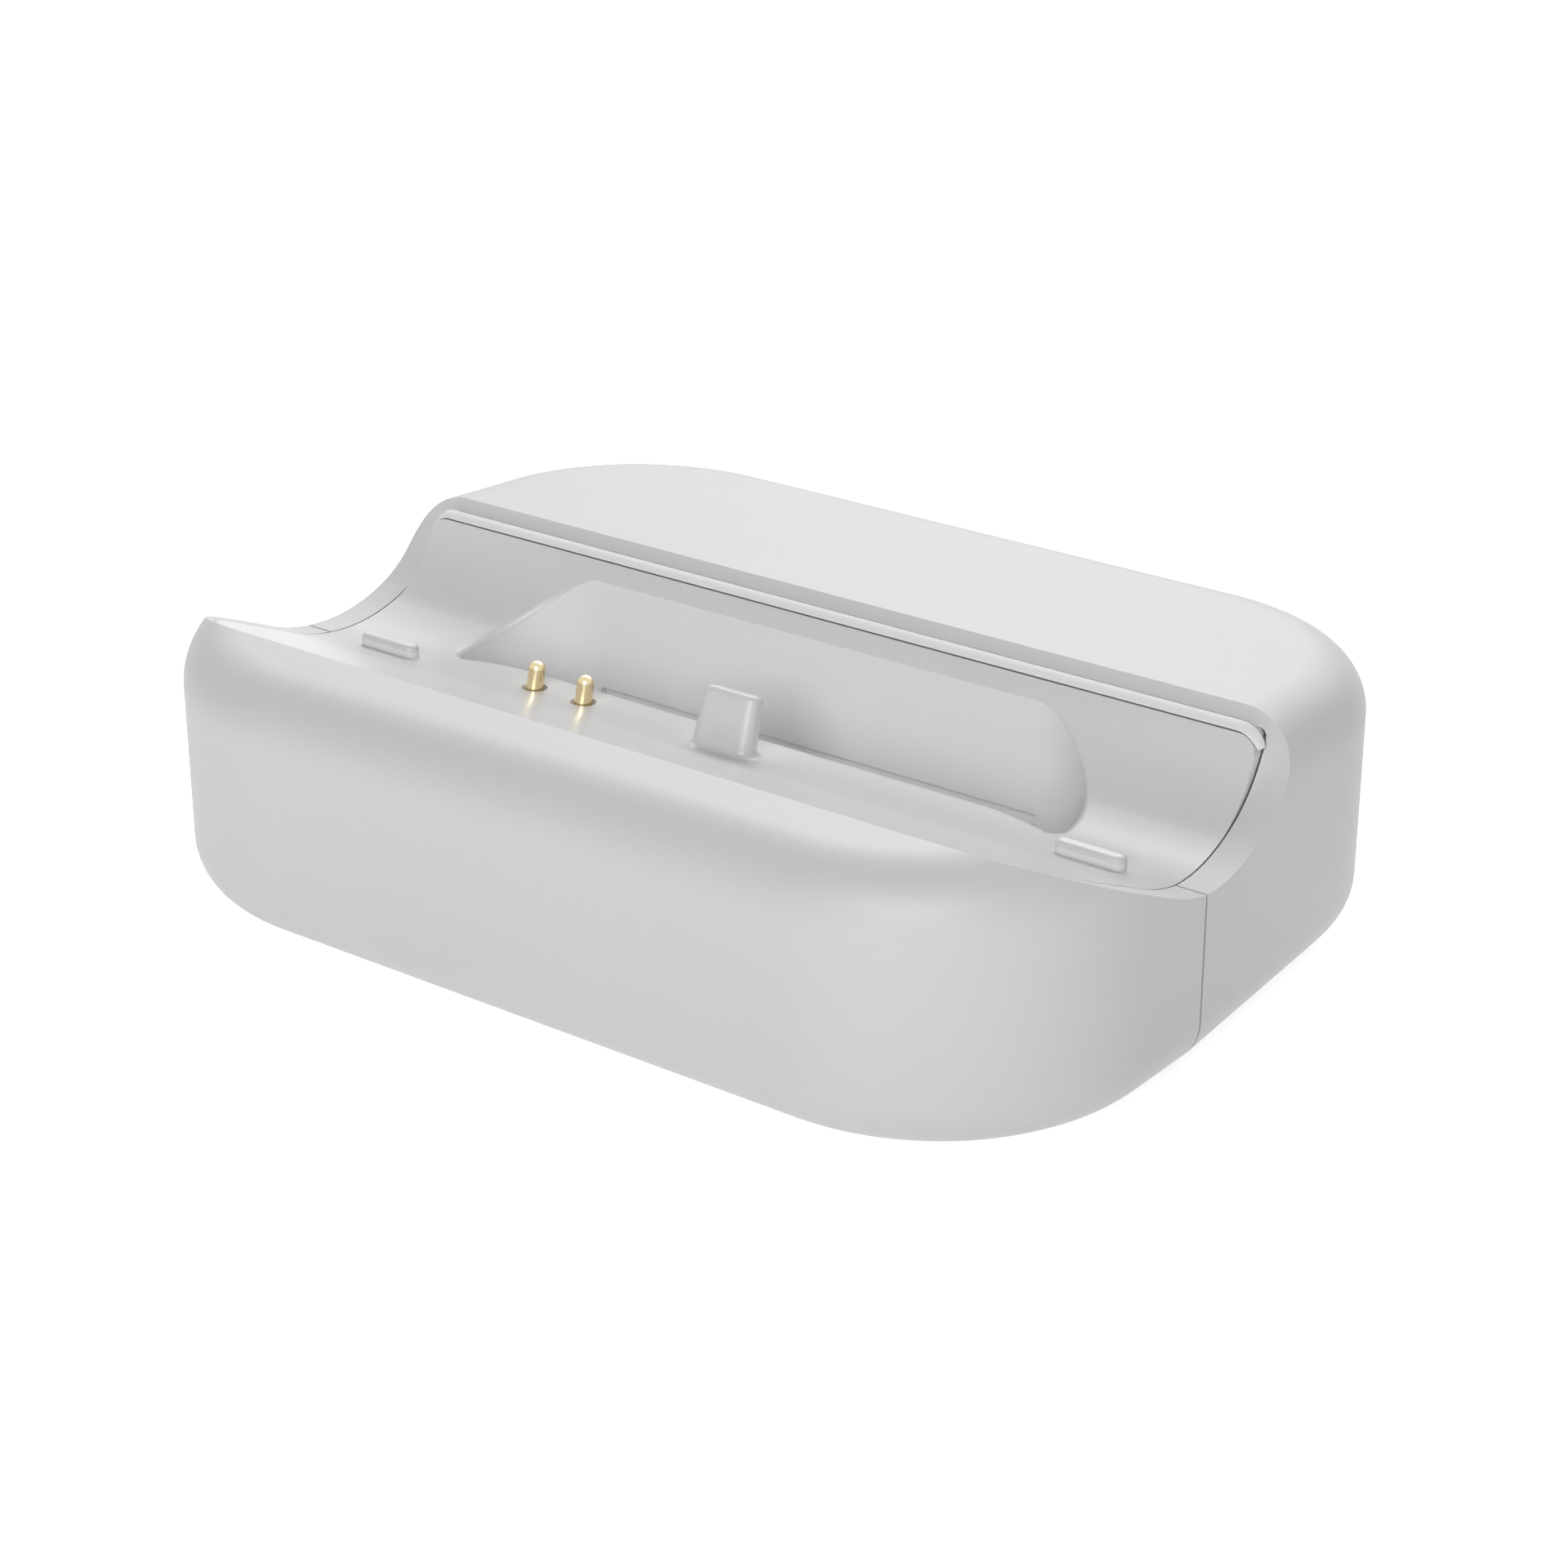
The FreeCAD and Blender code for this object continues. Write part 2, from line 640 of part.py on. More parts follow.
# Inner space of each half, over the flange that carries the base plate.
front_space = common(
    "front_space",
    rounded("front_space_corners",
            plan("front_space_plan",
                 mirrored([("inner_half", "past_seam_y"), ("inner_front_half", "inner_front_y")]),
                 None, "0", "tall"),
            "inner_front_corner", lambda e: upright(e) and along(e)[0].y < size("seam_y")),
    across("front_space_side",
           [("far_front_y", "ring_z"), ("past_seam_y", "ring_z"), ("past_seam_y", "vault_seam_z"),
            ("vault_slope_y", "vault_slope_z"), ("crest_y", "vault_crest_z"),
            ("far_front_y", "vault_front_z")],
           {2: ("vault_radius", -1)}))
rear_space = common(
    "rear_space",
    rounded("rear_space_corners",
            plan("rear_space_plan",
                 mirrored([("inner_half", "before_seam_y"), ("inner_rear_half", "inner_rear_y")]),
                 None, "0", "tall"),
            "inner_rear_corner", lambda e: upright(e) and along(e)[0].y > size("seam_y")),
    across("rear_space_side",
           [("before_seam_y", "ring_z"), ("far_rear_y", "ring_z"), ("far_rear_y", "vault_rear_z"),
            ("vault_deck_y", "vault_deck_z"), ("vault_top_y", "vault_top_z"),
            ("vault_back_y", "vault_back_z"), ("before_seam_y", "vault_before_z")],
           {4: ("vault_back_radius", -1), 5: ("vault_radius", -1)}))


def sole_outline(name, inset, bottom, length):
    """Upright solid on the outline of the body moved in by an inset."""
    for half in ("half_width", "front_half", "rear_half"):
        put(name + "_" + half, "=%s - %s" % (half, inset))
    put(name + "_front_y", "=front_y + %s" % inset)
    put(name + "_rear_y", "=rear_y - %s" % inset)
    put(name + "_corner", "=front_corner - %s" % inset)
    doc.recompute()
    solid = plan(name + "_block",
                 mirrored([(name + "_rear_half", name + "_rear_y"), (name + "_half_width", "seam_y"),
                           (name + "_front_half", name + "_front_y")]), None, bottom, length)
    return rounded(name + "_corners", solid, name + "_corner",
                   lambda e: upright(e) and abs(along(e)[0].y - size("seam_y")) > 1)


recess = sole_outline("recess", "plate_cut", "0", "plate_top_z")
ring_hole = sole_outline("ring_hole", "ring_inset", "0", "ring_z")


def boss(name, side, end):
    """Screw boss on the flange, with its pilot bore."""
    spot = ("%s * Sizes.boss_x" % side, "%s * Sizes.boss_y" % end)
    body = cylinder(name, "Sizes.boss_radius", "0", "Sizes.boss_high", spot[0], spot[1], "Sizes.plate_top_z")
    bore = cylinder(name + "_bore", "Sizes.base_bore", "-1", "Sizes.boss_high", spot[0], spot[1],
                    "Sizes.plate_top_z")
    return body, bore


front_bosses = [boss("front_boss_%d" % i, s, -1) for i, s in enumerate((-1, 1))]
rear_bosses = [boss("rear_boss_%d" % i, s, 1) for i, s in enumerate((-1, 1))]

# Tabs inside the seam: the two halves meet here and leave a fine line outside.
doc.recompute()
tabs = []
for i, side in enumerate((-1, 1)):
    start = "Sizes.half_width - Sizes.tab_out - Sizes.tab_thick"
    left = "%d * (%s + Sizes.tab_thick / 2) - Sizes.tab_thick / 2" % (side, start)
    tabs.append(block("seam_tab_%d" % i, "Sizes.tab_thick", "Sizes.tab_long", "Sizes.tab_high", left,
                      "Sizes.seam_y - Sizes.tab_long", "Sizes.foot_proud + Sizes.tab_low"))

front_hollowed = cut("front_hollowed", front_form, front_space, seat, way, recess, ring_hole)
front_whole = fuse("front_whole", front_hollowed, *(tabs + [b[0] for b in front_bosses]))
front_shell = cut("front_shell", front_whole, *[b[1] for b in front_bosses])

# Cable inlet: a drawn steel shell, a tongue inside it and a slot in the rear wall.


def slot(name, width, high, grow, start, length):
    """Rounded bar along the depth, as wide and high as the inlet and grown by a margin."""
    middle = block(name + "_middle", "%s - %s" % (width, high), length, "%s + 2 * (%s)" % (high, grow),
                   "-(%s - %s) / 2" % (width, high), start, "Sizes.inlet_z - %s / 2 - (%s)" % (high, grow))
    ends = []
    for i, side in enumerate((-1, 1)):
        end = doc.addObject("Part::Cylinder", "%s_end_%d" % (name, i))
        end.Placement = Placement(Vector(), Rotation(Vector(1, 0, 0), -90))
        end.setExpression("Radius", "%s / 2 + (%s)" % (high, grow))
        end.setExpression("Height", length)
        end.setExpression("Placement.Base.x", "%d * (%s - %s) / 2" % (side, width, high))
        end.setExpression("Placement.Base.y", start)
        end.setExpression("Placement.Base.z", "Sizes.inlet_z")
        ends.append(end)
    return fuse(name, middle, *ends)


inlet_size = ("Sizes.inlet_width", "Sizes.inlet_high")
inlet_way = slot("inlet_way", *inlet_size, "Sizes.inlet_clear", "Sizes.rear_y - 2 * Sizes.wall",
                 "3 * Sizes.wall")
rear_hollowed = cut("rear_hollowed", rear_form, rear_space, seat, way, recess, ring_hole, inlet_way)

# Collar at the foot of the riser: a thin ledge of the rear half that laps over the stepped rim of the insert.
collar_bar = across(
    "collar_bar",
    [("collar_top_y", "hole_rim_z"), ("collar_low_y", "collar_z"), ("collar_back_y", "collar_z"),
     ("collar_back_y", "hole_rim_z")], None, "collar_length")


def collar_end(edge):
    """True for the upper edge over either end of the collar."""
    points = along(edge)
    return min(p.z for p in points) > size("hole_rim_z") - 1e-6 and abs(points[0].x - points[-1].x) < 1e-6


collar = rounded("collar", collar_bar, "collar_round", collar_end)
rear_whole = fuse("rear_whole", rear_hollowed, collar, *[b[0] for b in rear_bosses])
rear_shell = cut("rear_shell", rear_whole, *[b[1] for b in rear_bosses])

inlet_skin = slot("inlet_skin", *inlet_size, "0", "Sizes.inlet_end_y", "Sizes.inlet_long")
inlet_room = slot("inlet_room", *inlet_size, "-Sizes.inlet_sheet", "Sizes.inlet_end_y + Sizes.inlet_floor",
                  "Sizes.inlet_long")
inlet_shell = cut("inlet_shell", inlet_skin, inlet_room)
inlet_tongue = block("inlet_tongue", "Sizes.tongue_width", "Sizes.tongue_long", "Sizes.tongue_thick",
                     "-Sizes.tongue_width / 2", "Sizes.inlet_end_y + Sizes.inlet_floor",
                     "Sizes.inlet_z - Sizes.tongue_thick / 2")

# Cradle insert: a sheet that follows the trough, with a tub for the pocket.
insert_plan = plan(
    "insert_outline",
    mirrored([("insert_rear_half", "insert_rear_y"), ("insert_half", "seam_y"),
              ("insert_front_half", "insert_front_y")]), None, "0", "tall")
insert_plan = rounded("insert_corners", insert_plan, "insert_corner",
                      lambda e: upright(e) and along(e)[0].y < size("insert_front_y") + 1)
sheet_side = across(
    "sheet_side",
    slope + [("back_y", "back_z"), ("back_top_y", "back_top_z"), ("rim_y", "rim_z"),
             ("under_rim_y", "rim_z"), ("under_top_y", "under_top_z"), ("under_back_y", "under_back_z"),
             ("under_slope_y", "under_slope_z"), ("far_front_y", "under_far_z")],
    {1: ("floor_radius", 1), 2: ("insert_radius", 1), 6: ("under_back_radius", -1),
     7: ("under_radius", -1)})
liner = common("liner", insert_plan, sheet_side)
liner = rounded("liner_corners", liner, "rim_corner", rim_corner_edge)
over_step = across(
    "over_step",
    [("lap_step_y", "step_z"), ("far_rear_y", "step_z"), ("far_rear_y", "tall"), ("lap_tall_y", "tall")])
liner = cut("stepped_liner", liner, over_step)


def pocket_outline(name, kind, bottom, length):
    """Upright solid on the outline of the pocket, or of the tub round it."""
    corners = [("pocket_back_half", kind + "_rear_y"), (kind + "_half", "pocket_side_y"),
               (kind + "_tip_half", kind + "_tip_y"), ("pocket_flat_half", kind + "_front_y")]
    return plan(name, mirrored(corners),
                {0: (kind + "_corner", -1), 2: (kind + "_sweep", 1), 4: (kind + "_sweep", 1),
                 6: (kind + "_corner", -1)}, bottom, length)


tub_block = pocket_outline("tub_block", "tub", "Sizes.tub_floor_z", "block_high")
tub = cut("tub", tub_block, above_insert, over_step)
pocket = pocket_outline("pocket", "pocket", "Sizes.pocket_floor_z", "tall")
pocket = rounded("pocket_tips", pocket, "pocket_tip_round",
                 lambda e: upright(e) and abs(abs(along(e)[0].x) - size("pocket_tip_half")) < 1e-6)
groove = block("pocket_groove", "2 * Sizes.pocket_back_half", "Sizes.groove_deep + Sizes.pocket_wall",
               "Sizes.groove_high", "-Sizes.pocket_back_half", "Sizes.pocket_rear_y - Sizes.pocket_wall",
               "Sizes.pocket_floor_z")
lined = cut("lined", fuse("lined_whole", liner, tub), pocket, groove)


def pocket_rim(edge):
    """True for the upper edge of the pocket."""
    points = along(edge)
    if min(p.z for p in points) < size("arc_z") - size("floor_radius") - 0.2:
        return False
    if max(abs(p.x) for p in points) > size("pocket_tip_half") + 0.1:
        return False
    low = min(p.y for p in points)
    return low > size("pocket_tip_y") - 0.2 and max(p.y for p in points) < size("pocket_rear_y") + 0.01


lined = rounded("lined_rim", lined, "pocket_round", pocket_rim)


def stadium(sketch, length, depth):
    """Outline with round ends, about the middle of a sketch."""
    reach = (size(length) - size(depth)) / 2
    half = size(depth) / 2
    sketch.addGeometry(Part.LineSegment(Vector(-reach, -half, 0), Vector(reach, -half, 0)), False)
    right = Part.Circle(Vector(reach, 0, 0), Vector(0, 0, 1), half)
    sketch.addGeometry(Part.ArcOfCircle(right, -math.pi / 2, math.pi / 2), False)
    sketch.addGeometry(Part.LineSegment(Vector(reach, half, 0), Vector(-reach, half, 0)), False)
    left = Part.Circle(Vector(-reach, 0, 0), Vector(0, 0, 1), half)
    sketch.addGeometry(Part.ArcOfCircle(left, math.pi / 2, 3 * math.pi / 2), False)
    for i in range(4):
        sketch.addConstraint(Sketcher.Constraint("Tangent", i, 2, (i + 1) % 4, 1))
    sketch.addConstraint(Sketcher.Constraint("Horizontal", 0))
    sketch.addConstraint(Sketcher.Constraint("Symmetric", 1, 3, 3, 3, -1, 1))
    place = sketch.addConstraint(Sketcher.Constraint("Radius", 1, half))
    sketch.setExpression("Constraints[%d]" % place, "Sizes.%s / 2" % depth)
    place = sketch.addConstraint(Sketcher.Constraint("Distance", 0, 2 * reach))
    sketch.setExpression("Constraints[%d]" % place, "Sizes.%s - Sizes.%s" % (length, depth))


def round_top(body, name, radius):
    """Top edges of a bar rounded to a named radius."""
    doc.recompute()
    bar = body.Tip
    top = max(vertex.Z for vertex in bar.Shape.Vertexes)
    chosen = []
    for number, edge in enumerate(bar.Shape.Edges, 1):
        if min(p.z for p in along(edge)) > top - 1e-6:
            chosen.append("Edge%d" % number)
    fillet = body.newObject("PartDesign::Fillet", name)
    fillet.Base = (bar, chosen)
    fillet.setExpression("Radius", bind(radius))
    body.Tip = fillet
    doc.recompute()


ribs = []
for i, side in enumerate((-1, 1)):
    rib = doc.addObject("PartDesign::Body", "rib_%d" % i)
    rib_plan = rib.newObject("Sketcher::SketchObject", "rib_plan_%d" % i)
    ground = [f for f in rib.Origin.OriginFeatures if f.Role == "XY_Plane"][0]
    rib_plan.AttachmentSupport = [(ground, "")]
    rib_plan.MapMode = "FlatFace"
    stadium(rib_plan, "rib_length", "rib_depth")
    pad = rib.newObject("PartDesign::Pad", "rib_pad_%d" % i)
    pad.Profile = rib_plan
    pad.setExpression("Length", "Sizes.rib_root + Sizes.rib_high")
    rib.Tip = pad
    round_top(rib, "rib_round_%d" % i, "rib_round")
    rib.setExpression("Placement.Base.x", "%d * Sizes.rib_x" % side)
    rib.setExpression("Placement.Base.y", "Sizes.rib_y")
    rib.setExpression("Placement.Base.z", "Sizes.rib_z")
    ribs.append(rib)
peg_ends = []
for name, outline, rise in (("peg_foot", ("peg_length", "peg_depth"), "-Sizes.peg_root"),
                            ("peg_head", ("peg_top_length", "peg_top_depth"), "Sizes.peg_high")):
    end = doc.addObject("Sketcher::SketchObject", name)
    stadium(end, *outline)
    end.Placement = Placement(Vector(), Rotation(Vector(1, 0, 0), -size("peg_lean")))
    end.setExpression("Placement.Base.x", "Sizes.peg_x")
    end.setExpression("Placement.Base.y", "Sizes.peg_y + (%s) * sin(Sizes.peg_lean)" % rise)
    end.setExpression("Placement.Base.z", "Sizes.peg_z + (%s) * cos(Sizes.peg_lean)" % rise)
    peg_ends.append(end)
taper = doc.addObject("Part::Loft", "peg_taper")
taper.Sections = peg_ends
taper.Solid = True
taper.Ruled = True
doc.recompute()


def peg_top(edge):
    """True for an edge round the top of the peg."""
    lean = math.radians(size("peg_lean"))
    axis = Vector(0, math.sin(lean), math.cos(lean))
    foot = Vector(size("peg_x"), size("peg_y"), size("peg_z"))
    return min((p - foot).dot(axis) for p in along(edge)) > size("peg_high") - 1e-6


peg = rounded("peg", taper, "peg_round", peg_top)


def leaning(name, radius, bottom, high, x, back="0"):
    """Round bar on the axis of the contacts; bottom is counted from the trough floor."""
    lean = bind("pin_lean")
    y = "Sizes.pin_y + (%s) * cos(%s)" % (back, lean)
    z = "Sizes.pin_z - (%s) * sin(%s)" % (back, lean)
    return cylinder(name, radius, bottom, high, x, y, z, "pin_lean")


def leaning_block(name, length, front, rear, bottom, top):
    """Block in the tipped frame of the contacts, centred between them."""
    lean = bind("pin_lean")
    brick = doc.addObject("Part::Box", name)
    brick.Placement = Placement(Vector(), Rotation(Vector(1, 0, 0), -size("pin_lean")))
    brick.setExpression("Length", length)
    brick.setExpression("Width", "%s - (%s)" % (rear, front))
    brick.setExpression("Height", "%s - (%s)" % (top, bottom))
    brick.setExpression("Placement.Base.x", "Sizes.pin_mid_x - %s / 2" % length)
    brick.setExpression("Placement.Base.y", "Sizes.pin_y + (%s) * cos(%s) + (%s) * sin(%s)"
                        % (front, lean, bottom, lean))
    brick.setExpression("Placement.Base.z", "Sizes.pin_z - (%s) * sin(%s) + (%s) * cos(%s)"
                        % (front, lean, bottom, lean))
    return brick


post_spots = ["Sizes.pin_mid_x + %d * Sizes.post_reach" % side for side in (-1, 1)]
posts = []
post_bores = []
for i, spot in enumerate(post_spots):
    posts.append(leaning("post_%d" % i, "Sizes.post_radius", "Sizes.barrel_base", "-Sizes.barrel_base - 1",
                         spot, "Sizes.post_back"))
    post_bores.append(leaning("post_bore_%d" % i, "Sizes.post_bore", "Sizes.barrel_base - 1", "5", spot,
                              "Sizes.post_back"))
pin_spots = {"left": "Sizes.pin_left_x", "right": "Sizes.pin_right_x"}
pin_holes = [leaning("pin_hole_" + side, "Sizes.pin_hole", "-4", "8", x) for side, x in pin_spots.items()]
pegged = fuse("pegged", lined, peg)


def peg_base(edge):
    """True for the edge where the peg grows out of the trough floor."""
    points = along(edge)
    if max(abs(p.x - size("peg_x")) for p in points) > size("peg_length") / 2 + size("peg_fillet"):
        return False
    if max(abs(p.y - size("peg_y")) for p in points) > size("peg_depth") / 2 + size("peg_fillet"):
        return False
    rise = [size("arc_z") - math.sqrt(size("floor_radius") ** 2 - (p.y - size("arc_y")) ** 2) for p in points]
    return max(abs(p.z - z) for p, z in zip(points, rise)) < 0.02


pegged = rounded("pegged_base", pegged, "peg_fillet", peg_base)
insert_whole = fuse("insert_whole", pegged, *(ribs + posts))
cradle_insert = cut("cradle_insert", insert_whole, *(post_bores + pin_holes))

# Spring contacts.


def turned(name, profile, arcs, x):
    """Turned piece on the axis of one contact, from half of its section."""
    body = doc.addObject("PartDesign::Body", name)
    sketch = body.newObject("Sketcher::SketchObject", name + "_section")
    ground = [f for f in body.Origin.OriginFeatures if f.Role == "XZ_Plane"][0]
    sketch.AttachmentSupport = [(ground, "")]
    sketch.MapMode = "FlatFace"
    draw(sketch, profile, arcs)
    turn = body.newObject("PartDesign::Revolution", name + "_turn")
    turn.Profile = sketch
    turn.ReferenceAxis = (sketch, ["V_Axis"])
    turn.Angle = 360
    body.Tip = turn
    body.Placement = Placement(Vector(), Rotation(Vector(1, 0, 0), -size("pin_lean")))
    body.setExpression("Placement.Base.x", x)
    body.setExpression("Placement.Base.y", "Sizes.pin_y")
    body.setExpression("Placement.Base.z", "Sizes.pin_z")
    doc.recompute()
    return body


doc.recompute()
nodes = {}


def close_coil():
    """Coil of touching turns between the barrel floor and the collar, drawn as rings with vee grooves."""
    high = size("pin_collar_base") - size("barrel_floor")
    turns = int(size("coil_turns"))
    pitch = high / turns
    mean = size("coil_radius")
    wire = size("coil_wire")
    outer = []
    inner = []
    for i in range(turns):
        outer += [Vector(mean + wire / 3, 0, i * pitch), Vector(mean + wire, 0, (i + 0.5) * pitch)]
        inner += [Vector(mean - wire / 3, 0, i * pitch), Vector(mean - wire, 0, (i + 0.5) * pitch)]
    outer.append(Vector(mean + wire / 3, 0, high))
    inner.append(Vector(mean - wire / 3, 0, high))
    section = Part.Face(Part.makePolygon(outer + inner[::-1] + outer[:1]))
    return section.revolve(Vector(), Vector(0, 0, 1), 360)


for side, x in pin_spots.items():
    nodes["pin_plunger_" + side] = turned(
        "pin_plunger_" + side,
        [("pin_axis", "pin_collar_base"), ("pin_collar", "pin_collar_base"), ("pin_collar", "pin_collar_top"),
         ("pin_radius", "pin_collar_top"), ("pin_radius", "pin_shoulder"), ("pin_axis", "pin_proud")],
        {4: ("pin_radius", 1)}, x)
    nodes["pin_barrel_" + side] = turned(
        "pin_barrel_" + side,
        [("pin_axis", "barrel_base"), ("barrel_radius", "barrel_base"), ("barrel_radius", "barrel_top"),
         ("barrel_mouth", "barrel_top"), ("barrel_mouth", "pin_collar_top"),
         ("barrel_bore", "pin_collar_top"), ("barrel_bore", "barrel_floor"),
         ("pin_axis", "barrel_floor")], None, x)
    spring = doc.addObject("Part::Feature", "pin_spring_" + side)
    spring.Shape = close_coil()
    spring.Placement = Placement(Vector(), Rotation(Vector(1, 0, 0), -size("pin_lean")))
    rise = "Sizes.barrel_floor"
    spring.setExpression("Placement.Base.x", x)
    spring.setExpression("Placement.Base.y", "Sizes.pin_y + (%s) * sin(Sizes.pin_lean)" % rise)
    spring.setExpression("Placement.Base.z", "Sizes.pin_z + (%s) * cos(Sizes.pin_lean)" % rise)
    nodes["pin_spring_" + side] = spring
holder_block = leaning_block("holder_block", "Sizes.holder_length", "Sizes.holder_front",
                             "Sizes.holder_rear", "Sizes.holder_base", "Sizes.holder_top")
holder_bores = [leaning("holder_bore_" + side, "Sizes.holder_bore", "-9", "9", x)
                for side, x in pin_spots.items()]
nodes["pin_holder"] = cut("pin_holder", holder_block, *holder_bores)
board_block = leaning_block("contact_block", "Sizes.board_length", "Sizes.board_front", "Sizes.board_rear",
                            "Sizes.barrel_base - Sizes.board_thick", "Sizes.barrel_base")
board_bores = [leaning("contact_bore_%d" % i, "Sizes.post_bore + Sizes.small_clear", "-9", "4", spot,
                       "Sizes.post_back")
               for i, spot in enumerate(post_spots)]
nodes["contact_board"] = cut("contact_board", board_block, *board_bores)
contact_screws = []
for i, spot in enumerate(post_spots):
    under = "Sizes.barrel_base - Sizes.board_thick"
    contact_screws.append(leaning("contact_shank_%d" % i, "Sizes.small_screw", under,
                                  "Sizes.small_screw_long + Sizes.board_thick", spot,
                                  "Sizes.post_back"))
    contact_screws.append(leaning("contact_head_%d" % i, "Sizes.small_head",
                                  under + " - Sizes.small_head_high", "Sizes.small_head_high", spot,
                                  "Sizes.post_back"))
nodes["contact_screws"] = fuse("contact_screws", *contact_screws)

# Base plate, with recesses for the feet, countersunk holes and posts.
plate_form = sole_outline("plate", "plate_inset", "Sizes.foot_proud", "plate_thick")
main_spots = [(x, y) for x in ("-Sizes.main_post_x", "Sizes.main_post_x")
              for y in ("Sizes.main_post_front_y", "Sizes.main_post_rear_y")]
main_posts = []
main_bores = []
for i, (x, y) in enumerate(main_spots):
    main_posts.append(cylinder("main_post_%d" % i, "Sizes.main_post_radius", "-0.5",
                               "Sizes.main_z - Sizes.plate_top_z + 0.5", x, y, "Sizes.plate_top_z"))
    main_bores.append(cylinder("main_bore_%d" % i, "Sizes.post_bore", "-0.2", "5", x, y,
                               "Sizes.plate_top_z"))
base_spots = [("%d * Sizes.boss_x" % sx, "%d * Sizes.boss_y" % sy) for sx in (-1, 1) for sy in (-1, 1)]


def base_fixing(name, grow, deep, x, y):
    """Countersunk screw, or the hole for one when it is grown."""
    shank = cylinder(name + "_shank", "Sizes.base_screw + %s" % grow, "0", deep, x, y, "Sizes.foot_proud")
    head = doc.addObject("Part::Cone", name + "_head")
    head.setExpression("Radius1", "Sizes.base_head + %s" % grow)
    head.setExpression("Radius2", "Sizes.base_screw + %s" % grow)
    head.setExpression("Height", "Sizes.base_head_deep")
    head.setExpression("Placement.Base.x", x)
    head.setExpression("Placement.Base.y", y)
    head.setExpression("Placement.Base.z", "Sizes.foot_proud")
    return [shank, head]


plate_holes = []
base_screws = []
cross_slots = []
cross = ("Sizes.cross_long", "Sizes.cross_wide")
for i, (x, y) in enumerate(base_spots):
    plate_holes += base_fixing("base_hole_%d" % i, "Sizes.base_clear", "Sizes.plate_thick + 1", x, y)
    base_screws += base_fixing("base_screw_%d" % i, "0", "Sizes.base_screw_long", x, y)
    for turn, (long, wide) in enumerate((cross, cross[::-1])):
        cross_slots.append(block("cross_%d_%d" % (i, turn), long, wide, "Sizes.cross_deep + Sizes.foot_proud",
                                 "%s - %s / 2" % (x, long), "%s - %s / 2" % (y, wide), "0"))
foot_spots = {}
for end, sy in (("front", -1), ("rear", 1)):
    for side, sx in (("left", -1), ("right", 1)):
        foot_spots["foot_%s_%s" % (end, side)] = ("%d * Sizes.foot_x" % sx, "%d * Sizes.foot_y" % sy)
foot_holes = []
for name, (x, y) in foot_spots.items():
    disc = cylinder(name + "_disc", "Sizes.foot_radius", "0", "Sizes.foot_proud + Sizes.foot_recess", x, y)
    doc.recompute()
    foot = rounded(name, disc, "foot_round", lambda e: max(p.z for p in along(e)) < 1e-6)
    nodes[name] = foot
    foot_holes.append(cylinder(name + "_recess", "Sizes.foot_radius + Sizes.foot_clear", "0",
                               "Sizes.foot_recess", x, y, "Sizes.foot_proud"))
plate_whole = fuse("plate_whole", plate_form, *main_posts)
nodes["base_plate"] = cut("base_plate", plate_whole, *(main_bores + plate_holes + foot_holes))
nodes["base_screws"] = cut("base_screws", fuse("base_screw_group", *base_screws),
                           fuse("cross_slots", *cross_slots))

# Main board and what stands on it.
main_block = block("main_block", "2 * Sizes.main_half", "Sizes.main_rear_y - Sizes.main_front_y",
                   "Sizes.main_thick", "-Sizes.main_half", "Sizes.main_front_y", "Sizes.main_z")
main_holes = [cylinder("main_hole_%d" % i, "Sizes.post_bore + Sizes.small_clear", "-1", "4", x, y,
                       "Sizes.main_z")
              for i, (x, y) in enumerate(main_spots)]
nodes["main_board"] = cut("main_board", main_block, *main_holes)
board_screws = []
for i, (x, y) in enumerate(main_spots):
    board_screws.append(cylinder("board_shank_%d" % i, "Sizes.small_screw", "-Sizes.small_screw_long",
                                 "Sizes.small_screw_long", x, y, "Sizes.main_top_z"))
    board_screws.append(cylinder("board_head_%d" % i, "Sizes.small_head", "0", "Sizes.small_head_high", x, y,
                                 "Sizes.main_top_z"))
nodes["board_screws"] = fuse("board_screws", *board_screws)
doc.recompute()
nodes["charge_chip"] = block("charge_chip", "Sizes.chip_side", "Sizes.chip_side", "Sizes.chip_high",
                             "Sizes.chip_x", "Sizes.chip_y", "Sizes.main_top_z")
coil_block = block("coil_block", "Sizes.coil_side", "Sizes.coil_side", "Sizes.coil_high", "Sizes.coil_x",
                   "Sizes.coil_y", "Sizes.main_top_z")
doc.recompute()
nodes["power_inductor"] = rounded("power_inductor", coil_block, "chip_high", upright)
capacitors = []
for i in range(int(size("capacitor_count"))):
    capacitors.append(block("capacitor_%d" % i, "Sizes.capacitor_deep", "Sizes.capacitor_long",
                            "Sizes.capacitor_deep", "Sizes.capacitor_x + %d * Sizes.capacitor_pitch" % i,
                            "Sizes.capacitor_y", "Sizes.main_top_z"))
nodes["board_capacitors"] = fuse("board_capacitors", *capacitors)

# Leads from the contact board to the main board, under the pocket.
doc.recompute()


